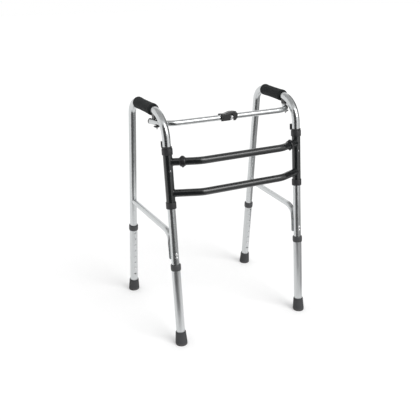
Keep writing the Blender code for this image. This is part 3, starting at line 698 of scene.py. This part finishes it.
# Sleeve stops: a moulded nylon ring on each front leg, just above the sleeve that turns below it.
# A flat tab stands up from its back, clear of the tube.
STOP_HEIGHT = 0.6556
STOP_RING = [(0.0130, 0.0), (0.0158, 0.0), (0.0158, 0.0052), (0.0130, 0.0052)]
STOP_EASE = 0.0010
STOP_SOFT = 0.0005
TAB_HALF_WIDE = 0.0110
TAB_OUTLINE = [
    (0.0142, 0.0004, 0.0002), (0.0202, 0.0004, 0.0010), (0.0202, 0.0205, 0.0009), (0.0176, 0.0205, 0.0009),
    (0.0170, 0.0044, 0.0012), (0.0142, 0.0044, 0.0002),
]


def trimmed(piece, cutter, operation="DIFFERENCE"):
    """Cut one piece by another, or join them, and keep the result as a plain mesh."""
    cut = piece.modifiers.new("cut", "BOOLEAN")
    cut.operation = operation
    cut.solver = "EXACT"
    cut.object = cutter
    mesh = baked_mesh(piece)
    piece.modifiers.remove(cut)
    piece.data = mesh
    bpy.data.objects.remove(cutter, do_unlink=True)


def softened(piece, width, edge_deg=28.0):
    """Small rounded edges, kept in the mesh; the flats beside them stay flat in the light."""
    piece.data.polygons.foreach_set("use_smooth", [True] * len(piece.data.polygons))
    soft = piece.modifiers.new("soft", "BEVEL")
    soft.width = width
    soft.segments = 3
    soft.limit_method = "ANGLE"
    soft.angle_limit = math.radians(edge_deg)
    soft.harden_normals = True
    mesh = baked_mesh(piece)
    piece.modifiers.remove(soft)
    piece.data = mesh


def slab(name, origin, right, up, outline, half_deep):
    """A flat outline given depth both ways."""
    builder = bmesh.new()
    deep = right.cross(up).normalized() * half_deep
    near = [builder.verts.new(origin + right * a + up * b - deep) for a, b in outline]
    far = [builder.verts.new(origin + right * a + up * b + deep) for a, b in outline]
    builder.faces.new(near)
    builder.faces.new(far)
    stitch(builder, near, far)
    return finished_mesh(name, builder)


def rounded_line(corners, steps=6):
    """A closed outline from (x, y, corner radius) values."""
    spots = [Vector(corner[:2]) for corner in corners]
    line = []
    for i, corner in enumerate(corners):
        following = spots[(i + 1) % len(spots)]
        line += bent_path([spots[i - 1], spots[i], following], [corner[2]], steps)[1:-1]
    return line


for sign, hand in HANDS:
    base = front_place(sign * LEG_HALF_APART, 0.0, STOP_HEIGHT)
    stop = turned_piece(f"{hand}_tabbed_stop", base, leg_up, STOP_RING, STOP_EASE)
    outline = rounded_line(TAB_OUTLINE, steps=4)
    trimmed(stop, slab(f"{hand}_stop_tab", base, leg_back, leg_up, outline, TAB_HALF_WIDE), "UNION")
    softened(stop, STOP_SOFT)
    put_on(stop, bush_nylon, f"{hand}_side", "black_plastic", f"{hand}_sleeve_stop")

# Top bar brackets: moulded nylon saddles under the side tubes, each with a steel pivot bolt.
# The bolt runs down through the saddle and the bar into a flanged black nut, and its tip shows below.
BOLT_BACK = 0.0635
TOP_BAR_HEIGHT = 0.7235
TOP_BAR_R = 0.009
BOLT_RISE = 0.0045
SADDLE_FOOT = TOP_BAR_R + 0.0020
SADDLE_HALF_WIDE = 0.0100
SADDLE_OUTLINE = [
    (-0.0085, 0.0, 0.0015), (0.0085, 0.0, 0.0015), (0.0105, 0.0045, 0.0020), (0.0105, 0.0195, 0.0010),
    (-0.0105, 0.0195, 0.0010), (-0.0105, 0.0045, 0.0020),
]
SADDLE_SOFT = 0.0009
SEAT_CLEAR = 0.0002
SEAT_LOW = 0.60
BOLT_R = 0.0029
BOLT_POINT_R = 0.0020
BOLT_POINT = 0.0012
BOLT_TOP = SADDLE_FOOT + 0.0030
BOLT_EASE = 0.0003
THREAD_END = -TOP_BAR_R - 0.0130
NUT_DROP = TOP_BAR_R + 0.0016
NUT_PROFILE = [
    (0.0031, 0.0), (0.0095, 0.0), (0.0100, 0.0010), (0.0099, 0.0028), (0.0084, 0.0042), (0.0066, 0.0051),
    (0.0050, 0.0058), (0.0031, 0.0058),
]
NUT_EASE = 0.0005
pivots = {}
for sign, hand in HANDS:
    side = side_frames[hand]
    bolt_x = sign * (LEG_HALF_APART + TOE_OUT * BOLT_BACK)
    pivot = front_place(bolt_x, BOLT_BACK, TOP_BAR_HEIGHT + BOLT_RISE)
    pivots[hand] = pivot
    outline = rounded_line([(a, SADDLE_FOOT + b, r) for a, b, r in SADDLE_OUTLINE], steps=4)
    saddle = slab(f"{hand}_saddle_bracket", pivot, leg_back, leg_up, outline, SADDLE_HALF_WIDE)
    crown = side.tops["front"].lerp(side.tops["rear"], 0.5)
    path = bent_path([side_place(sign, 0.0, SEAT_LOW), side.tops["front"], crown], BEND_RADII[:1], BEND_STEPS)
    sections = [round_section(SIDE_R + SEAT_CLEAR)] * len(path)
    trimmed(saddle, bent_tube(f"{hand}_saddle_seat", path, side.across, sections))
    softened(saddle, SADDLE_SOFT)
    put_on(saddle, collar_gloss, f"{hand}_side", "black_plastic", f"{hand}_bracket")
    bolt = turned_piece(
        f"{hand}_pivot_bolt", pivot, leg_up,
        [(0.0, THREAD_END), (BOLT_POINT_R, THREAD_END), (BOLT_R, THREAD_END + BOLT_POINT), (BOLT_R, BOLT_TOP),
         (0.0, BOLT_TOP)], BOLT_EASE, sides=32,
    )
    put_on(bolt, plated, f"{hand}_side", "steel", f"{hand}_bracket_bolt")
    nut_base = pivot - leg_up * NUT_DROP
    nut = turned_piece(f"{hand}_pivot_nut", nut_base, -leg_up, NUT_PROFILE, NUT_EASE, sides=48)
    put_on(nut, collar_gloss, f"{hand}_side", "black_plastic", f"{hand}_bracket_nut")

# Top bar: two lengths of bright tube, each bent back to its bracket, with a black cap in the outer end.
# A flanged nylon plug fills each inner end; a blackened steel pin through the left half is the latch's
# pivot, and a thicker bright pin through the right half is its catch.
BAR_BACK = 0.0275
BAR_TURN_X = 0.2206
BAR_TURN_R = 0.066
BAR_TAIL = 0.0244
CAP_PROFILE = [
    (0.0, 0.0), (0.0090, 0.0), (0.0090, 0.0026), (0.0087, 0.0040), (0.0078, 0.0050), (0.0062, 0.0055),
    (0.0, 0.0055),
]
CAP_EASE = 0.0004
PLUG_FACE = {"left": -0.0068, "right": -0.0040}
PLUG_R = 0.0088
PLUG_FLANGE = 0.0013
PLUG_GAP = 0.0002
ROD_EASE = 0.0005
to_right = Vector((1.0, 0.0, 0.0))
cross_alloy = drawn_alloy("cross_alloy", (2.5, 160.0, 160.0))


def blackened_steel():
    """Steel with a chemical black, oiled to a dull gloss."""
    return finish_base(
        "blackened_steel", shades=((0.014, 0.014, 0.015), (0.026, 0.026, 0.028)), rough=(0.30, 0.45),
        mark_scale=180.0, grain_scale=2600.0, bump=0.06, depth=0.0002,
    )[0]


Pin = namedtuple("Pin", "node x radius half_long finish")
PINS = {
    "left": Pin("latch_pivot_pin", -0.0315, 0.0028, 0.0124, blackened_steel()),
    "right": Pin("catch_pin", 0.0025, 0.0036, 0.0136, plated),
}


def rod_profile(radius, length):
    """A plain solid rod."""
    return [(0.0, 0.0), (radius, 0.0), (radius, length), (0.0, length)]


for sign, hand in HANDS:
    inner_x = PLUG_FACE[hand] + sign * PLUG_FLANGE
    bend = front_place(sign * BAR_TURN_X, BAR_BACK, TOP_BAR_HEIGHT)
    way = (pivots[hand] - bend).normalized()
    corners = [front_place(inner_x, BAR_BACK, TOP_BAR_HEIGHT), bend, pivots[hand] + way * BAR_TAIL]
    path = bent_path(corners, [BAR_TURN_R], steps=24)
    bend_normal = (corners[1] - corners[0]).cross(corners[2] - corners[1])
    bar = bent_tube(f"{hand}_top_bar", path, bend_normal, [round_section(TOP_BAR_R)] * len(path))
    put_on(bar, cross_alloy, f"{hand}_bar", "alloy", f"{hand}_bar_tube")
    cap = turned_piece(f"{hand}_tail_cap", corners[-1], way, CAP_PROFILE, CAP_EASE, sides=48)
    put_on(cap, bush_nylon, f"{hand}_bar", "black_plastic")
    plug = turned_piece(
        f"{hand}_end_plug", front_place(PLUG_FACE[hand], BAR_BACK, TOP_BAR_HEIGHT), to_right * sign,
        rod_profile(PLUG_R, PLUG_FLANGE - PLUG_GAP), ROD_EASE,
    )
    put_on(plug, bush_nylon, f"{hand}_bar", "black_plastic", f"{hand}_bar_plug")
    pin = PINS[hand]
    rod = turned_piece(
        f"{hand}_cross_pin", front_place(pin.x, BAR_BACK - pin.half_long, TOP_BAR_HEIGHT), leg_back,
        rod_profile(pin.radius, 2 * pin.half_long), ROD_EASE, sides=40,
    )
    put_on(rod, pin.finish, f"{hand}_bar", "steel", pin.node)

# Latch: a moulded gloss black channel that straddles the joint of the top bar.
# It turns on the pivot pin, and its hooked cheeks drop over the catch pin; lifted, it lets the frame fold.
LATCH_HALF_WIDE = 0.0128
LATCH_WALL = 0.0030
LATCH_ROOF = 0.0096
LATCH_EDGE = 0.0036
LATCH_SOFT = 0.0007
LATCH_OUTLINE = [
    (-0.0370, -0.0106, 0.0015), (-0.0042, -0.0106, 0.0010), (-0.0018, 0.0076, 0.0036),
    (0.0068, 0.0076, 0.0036), (0.0074, -0.0122, 0.0010), (0.0150, -0.0122, 0.0050),
    (0.0222, -0.0030, 0.0060), (0.0226, 0.0090, 0.0060), (0.0180, 0.0172, 0.0060),
    (0.0010, 0.0176, 0.0100), (-0.0150, 0.0130, 0.0120), (-0.0250, 0.0118, 0.0080),
    (-0.0362, 0.0124, 0.0008),
]
ROOF_START = -0.0280
PAST_LATCH = 0.06
EYE_CLEAR = 0.0004
EYE_HALF_LONG = 0.02


def rolled_top(piece, up, lowest, width):
    """Roll over the long top edges of a slab, those that stand higher than lowest along up."""
    builder = bmesh.new()
    builder.from_mesh(piece.data)
    long_edges = []
    for edge in builder.edges:
        high = min(vert.co.dot(up) for vert in edge.verts) > lowest
        sizes = sorted(len(face.verts) for face in edge.link_faces)
        if high and len(sizes) == 2 and sizes[0] == 4 < sizes[1]:
            long_edges.append(edge)
    bmesh.ops.bevel(builder, geom=long_edges, offset=width, segments=5, profile=0.5, affect="EDGES")
    builder.to_mesh(piece.data)
    builder.free()


latch_gloss = moulded_plastic("latch_gloss", ((0.006, 0.0065, 0.007), (0.012, 0.0125, 0.013)), (0.14, 0.22))
latch_middle = front_place(0.0, BAR_BACK, TOP_BAR_HEIGHT)
latch = slab("hooked_latch", latch_middle, to_right, leg_up, rounded_line(LATCH_OUTLINE), LATCH_HALF_WIDE)
rolled_top(latch, leg_up, latch_middle.dot(leg_up) + LATCH_ROOF, LATCH_EDGE)
hollow = [
    (-PAST_LATCH, -PAST_LATCH), (PAST_LATCH, -PAST_LATCH), (PAST_LATCH, LATCH_ROOF), (ROOF_START, LATCH_ROOF),
    (ROOF_START, PAST_LATCH), (-PAST_LATCH, PAST_LATCH),
]
trimmed(latch, slab("latch_inside", latch_middle, to_right, leg_up, hollow, LATCH_HALF_WIDE - LATCH_WALL))
eye = turned_piece(
    "latch_eye", front_place(PINS["left"].x, BAR_BACK - EYE_HALF_LONG, TOP_BAR_HEIGHT), leg_back,
    rod_profile(PINS["left"].radius + EYE_CLEAR, 2 * EYE_HALF_LONG), sides=32,
)
trimmed(latch, eye)
softened(latch, LATCH_SOFT)
put_on(latch, latch_gloss, "latch", "gloss_black", "latch_lever")

# Lower legs: wider drawn tubes that slide over the side tubes, with a row of holes for the snap button.
# The row is drilled by one tree; the holes face the other leg of the same side.
LOWER_R = 0.0143
LOWER_LOW = 0.0090
LOWER_HIGH = 0.2807
HOLE_TOP = 0.255
HOLE_STEP = 0.0254
HOLE_COUNT = 8
HOLE_R = 0.0042
HOLE_OUT = 0.014
satin_alloy = drawn_alloy("satin_alloy", (160.0, 160.0, 2.5), (0.30, 0.40))


def drilled_row_tree():
    """A row of round holes drilled into the mesh that the tree is run on."""
    tree, given = shape_tree("drilled_row", {
        "Geometry": "Geometry", "Count": "Int", "Start": "Vector", "Step": "Vector", "Facing": "Vector",
        "Hole Radius": "Float", "Finish": "Material"})
    drill = new_node(tree, "GeometryNodeMeshCylinder", {
        "Vertices": 28, "Depth": 0.012, "Radius": given["Hole Radius"]})
    drills = real_shape(tree, row_of_copies(tree, given, drill.outputs["Mesh"]))
    bore = new_node(tree, "GeometryNodeMeshBoolean", {
        "Mesh 1": given["Geometry"], "Mesh 2": drills}, operation="DIFFERENCE", solver="EXACT")
    give_finish(tree, given, bore.outputs["Mesh"])
    return tree


drilled_row = drilled_row_tree()
Leg = namedtuple("Leg", "name foot up face")
legs = [Leg(f"{hand}_{end}", side.feet[end], side.ups[end], side.faces[end])
        for hand, side in side_frames.items() for end in ("front", "rear")]
for leg in legs:
    blank = turned_piece(
        f"{leg.name}_blank", leg.foot, leg.up,
        [(LOWER_R, LOWER_LOW), (LOWER_R, LOWER_HIGH), (TUBE_BORE, LOWER_HIGH), (TUBE_BORE, LOWER_LOW)],
        sides=64,
    )
    tube = grown_piece(f"{leg.name}_lower_leg", drilled_row, {
        "Count": HOLE_COUNT, "Start": tuple(leg.foot + leg.up * HOLE_TOP + leg.face * HOLE_OUT),
        "Step": tuple(leg.up * -HOLE_STEP), "Facing": tuple(leg.face), "Hole Radius": HOLE_R,
        "Finish": satin_alloy}, blank)
    put_on(tube, satin_alloy, f"{leg.name}_leg", "alloy", f"{leg.name}_leg_tube")

# Leg collars: moulded rims of charcoal grey nylon, pushed over the tops of the lower legs.
# A lip inside each one lies over the tube's end and takes up the play round the side tube.
RIM_HEIGHT = 0.2835
RIM_PROFILE = [
    (TUBE_BORE, 0.0), (0.0160, 0.0), (0.0167, -0.0030), (0.0167, -0.0160), (0.0160, -0.0200),
    (OVER_TUBE, -0.0200), (OVER_TUBE, -0.0024), (TUBE_BORE, -0.0024),
]
RIM_EASE = 0.0011
collar_nylon = moulded_plastic("collar_nylon", ((0.040, 0.041, 0.043), (0.066, 0.067, 0.070)), (0.42, 0.60))
for leg in legs:
    rim_base = leg.foot + leg.up * RIM_HEIGHT
    collar = turned_piece(f"{leg.name}_leg_rim", rim_base, leg.up, RIM_PROFILE, RIM_EASE)
    put_on(collar, collar_nylon, f"{leg.name}_leg", "grey_plastic", f"{leg.name}_collar")

# Tips: moulded ferrules of charcoal rubber, pushed over the feet of the lower legs.
# They flare to a flat sole, and are dusty where they meet the floor.
TIP_PROFILE = [
    (0.0, 0.0), (0.0186, 0.0), (0.0195, 0.0008), (0.0199, 0.0026), (0.0200, 0.0050), (0.0199, 0.0085),
    (0.0196, 0.0120), (0.0172, 0.0425), (0.0169, 0.0446), (0.0163, 0.0457), (0.0150, 0.0460),
    (OVER_TUBE, 0.0456), (OVER_TUBE, 0.0086), (0.0, 0.0086),
]
TIP_SKIN = 0.0145
SOLE_BLEND = 0.012
SOLE_GAP = 0.0004
DUST_HIGH = 0.010


def ferrule_rubber():
    """Dull rubber with a little dust near the floor."""
    mat, shader = finish_base(
        "ferrule_rubber", shades=((0.038, 0.039, 0.041), (0.062, 0.063, 0.066)), rough=(0.62, 0.84),
        mark_scale=85.0, grain_scale=1700.0, bump=0.25, depth=0.0004,
    )
    tree = mat.node_tree
    place = tree.nodes["Texture Coordinate"]
    split = new_node(tree, "ShaderNodeSeparateXYZ", {"Vector": place.outputs["Object"]})
    low = new_node(tree, "ShaderNodeMapRange", {
        "Value": split.outputs["Z"], "From Min": DUST_HIGH, "From Max": 0.0})
    dust = new_node(tree, "ShaderNodeMath", {
        0: low.outputs["Result"], 1: tree.nodes["Group"].outputs["Mask"]}, operation="MULTIPLY")
    over = new_node(tree, "ShaderNodeMix", {
        "Factor": dust.outputs["Value"], "A": tree.nodes["Mix"].outputs["Result"],
        "B": (0.14, 0.135, 0.13, 1.0)}, data_type="RGBA")
    tree.links.new(over.outputs["Result"], shader.inputs["Base Color"])
    shader.inputs["Specular IOR Level"].default_value = 0.3
    return mat


def levelled_sole(builder, foot, up):
    """Shear the lowest rings of a ferrule along its leg, so that its sole lies flat on the floor."""
    for vert in builder.verts:
        off = vert.co - foot
        height = off.dot(up)
        outside = height < SOLE_BLEND and (off - up * height).length > TIP_SKIN
        if outside or height < SOLE_GAP:
            share = max(0.0, 1.0 - height / SOLE_BLEND)
            vert.co -= up * ((vert.co.z - height * up.z) * share / up.z)


rubber = ferrule_rubber()
for leg in legs:
    builder = bmesh.new()
    turned_shell(builder, leg.foot, leg.up, [Vector(p) for p in TIP_PROFILE], sides=72)
    levelled_sole(builder, leg.foot, leg.up)
    tip = finished_mesh(f"{leg.name}_ferrule", builder)
    put_on(tip, rubber, f"{leg.name}_leg", "rubber", f"{leg.name}_tip")

# Snap buttons: turned steel studs with a domed end, and a shoulder that stays inside the tube.
# A spring pushes each one out through a hole of the lower leg, which sets the height.
HOLES_ABOVE = 6
BUTTON_HEIGHT = HOLE_TOP - HOLE_STEP * HOLES_ABOVE
BUTTON_PROFILE = [
    (0.0, 0.0078), (0.0048, 0.0078), (0.0048, 0.0094), (0.0037, 0.0094), (0.0037, 0.0148), (0.0034, 0.0158),
    (0.0027, 0.0166), (0.0016, 0.0171), (0.0, 0.0173),
]
for leg in legs:
    button_base = leg.foot + leg.up * BUTTON_HEIGHT
    button = turned_piece(f"{leg.name}_stud", button_base, leg.face, BUTTON_PROFILE, sides=32)
    put_on(button, plated, f"{leg.name}_button_press", "steel", f"{leg.name}_button")

# Studio: a white paper floor in a white room, and one broad soft lamp from the front right.
# Dark and grey cards stand and lie round it, out of the picture, and show only in what shines.
# The camera stands where the photograph was taken from.
PAPER_HALF = 14
PAPER_SHADE = 0.93
PAPER_GLOW = 0.09
ROOM_LIGHT = 0.75
ROOM_SEEN = 1.0
LAMP_LEVEL = 1.5
LAMP_SPREAD_DEG = 40.0
LAMP_FRONT = 0.64
LAMP_RIGHT = 0.77
LAMP_UP = 0.84
CARD_LIFT = 0.002
AZIMUTH_DEG = 27.16
ELEVATION_DEG = 22.5
SENSOR_MM = 36.0
FOCAL_PIXELS = 590.66
PICTURE_PIXELS = 420.0
CAMERA_X = -0.9076
CAMERA_Y = -1.5168 - HALF_DEPTH
CAMERA_Z = 1.1682
azimuth = math.radians(AZIMUTH_DEG)
elevation = math.radians(ELEVATION_DEG)
to_camera = Vector((-math.sin(azimuth), -math.cos(azimuth), 0.0))
picture_right = Vector((math.cos(azimuth), -math.sin(azimuth), 0.0))


def seen_share(tree):
    """1 for what the eye meets directly, in a mirror or through glass, and 0 for the light on surfaces."""
    ray = tree.nodes.new("ShaderNodeLightPath")
    share = ray.outputs["Is Camera Ray"]
    for kind in ("Is Glossy Ray", "Is Transmission Ray"):
        either = new_node(tree, "ShaderNodeMath", {0: share, 1: ray.outputs[kind]}, operation="MAXIMUM")
        share = either.outputs["Value"]
    return share


def stage_sheet(name, corners, shade):
    """A flat matte sheet of the studio, in a shade of grey."""
    mesh = bpy.data.meshes.new(name)
    mesh.from_pydata(corners, [], [tuple(range(len(corners)))])
    sheet = placed(name, mesh)
    mat = bpy.data.materials.new(name)
    mat.use_nodes = True
    shader = mat.node_tree.nodes["Principled BSDF"]
    shader.inputs["Base Color"].default_value = (shade, shade, shade, 1.0)
    shader.inputs["Roughness"].default_value = 0.9
    shader.inputs["Specular IOR Level"].default_value = 0.1
    mesh.materials.append(mat)
    return sheet


paper = stage_sheet("paper_floor", [
    (-PAPER_HALF, -PAPER_HALF, 0), (PAPER_HALF, -PAPER_HALF, 0), (PAPER_HALF, PAPER_HALF, 0),
    (-PAPER_HALF, PAPER_HALF, 0)], PAPER_SHADE)
paper_tree = paper.data.materials[0].node_tree
paper_shader = paper_tree.nodes["Principled BSDF"]
paper_shader.inputs["Emission Color"].default_value = (1.0, 1.0, 1.0, 1.0)
glow = new_node(paper_tree, "ShaderNodeMath", {
    0: seen_share(paper_tree), 1: PAPER_GLOW}, operation="MULTIPLY")
paper_tree.links.new(glow.outputs["Value"], paper_shader.inputs["Emission Strength"])

# Each card has a shade and corners, measured to the picture's right, towards the camera and up.
CARDS = {
    "dark_cloth": (0.10, [(-0.72, 0.56, 0), (0.50, 0.56, 0), (0.95, 2.6, 0), (-2.10, 2.6, 0)]),
    "dark_flat": (0.06, [(-3.6, 2.6, 0), (1.2, 2.6, 0), (1.2, 2.6, 3.2), (-3.6, 2.6, 3.2)]),
    "grey_card": (0.36, [(0.50, -1.5, 0), (3.0, -1.5, 0), (3.0, 2.6, 0), (0.95, 2.6, 0), (0.50, 0.56, 0)]),
    "grey_ceiling": (0.52, [(-1.8, -1.5, 2.2), (1.8, -1.5, 2.2), (1.8, 0.9, 2.2), (-1.8, 0.9, 2.2)]),
    "side_flat": (0.12, [(2.6, -0.3, 0), (1.0, -2.4, 0), (1.0, -2.4, 2.6), (2.6, -0.3, 2.6)]),
}
for name, (shade, corners) in CARDS.items():
    spots = [picture_right * a + to_camera * b + Vector((0.0, 0.0, c + CARD_LIFT)) for a, b, c in corners]
    card = stage_sheet(name, spots, shade)
    card.visible_camera = False
    card.visible_diffuse = False
    card.visible_transmission = False
    card.visible_shadow = False

world = bpy.data.worlds.new("studio")
bpy.context.scene.world = world
world.use_nodes = True
sky = world.node_tree.nodes["Background"]
sky.inputs["Color"].default_value = (1.0, 1.0, 1.0, 1.0)
brightness = new_node(world.node_tree, "ShaderNodeMapRange", {
    "Value": seen_share(world.node_tree), "To Min": ROOM_LIGHT, "To Max": ROOM_SEEN})
world.node_tree.links.new(brightness.outputs["Result"], sky.inputs["Strength"])

lamp = bpy.data.lights.new("soft_lamp", "SUN")
lamp.energy = LAMP_LEVEL
lamp.angle = math.radians(LAMP_SPREAD_DEG)
lamp_way = to_camera * LAMP_FRONT + picture_right * LAMP_RIGHT + Vector((0.0, 0.0, LAMP_UP))
placed("soft_lamp", lamp).rotation_euler = lamp_way.to_track_quat("Z", "Y").to_euler()

look = to_camera * -math.cos(elevation) - Vector((0.0, 0.0, math.sin(elevation)))
lens = bpy.data.cameras.new("viewpoint")
lens.sensor_width = SENSOR_MM
lens.lens = SENSOR_MM * FOCAL_PIXELS / PICTURE_PIXELS
viewer = placed("viewpoint", lens)
pose = Matrix((picture_right, picture_right.cross(look), -look)).transposed().to_4x4()
pose.translation = Vector((CAMERA_X, CAMERA_Y, CAMERA_Z))
viewer.matrix_world = pose
bpy.context.scene.camera = viewer
bpy.context.scene.view_settings.view_transform = "Standard"
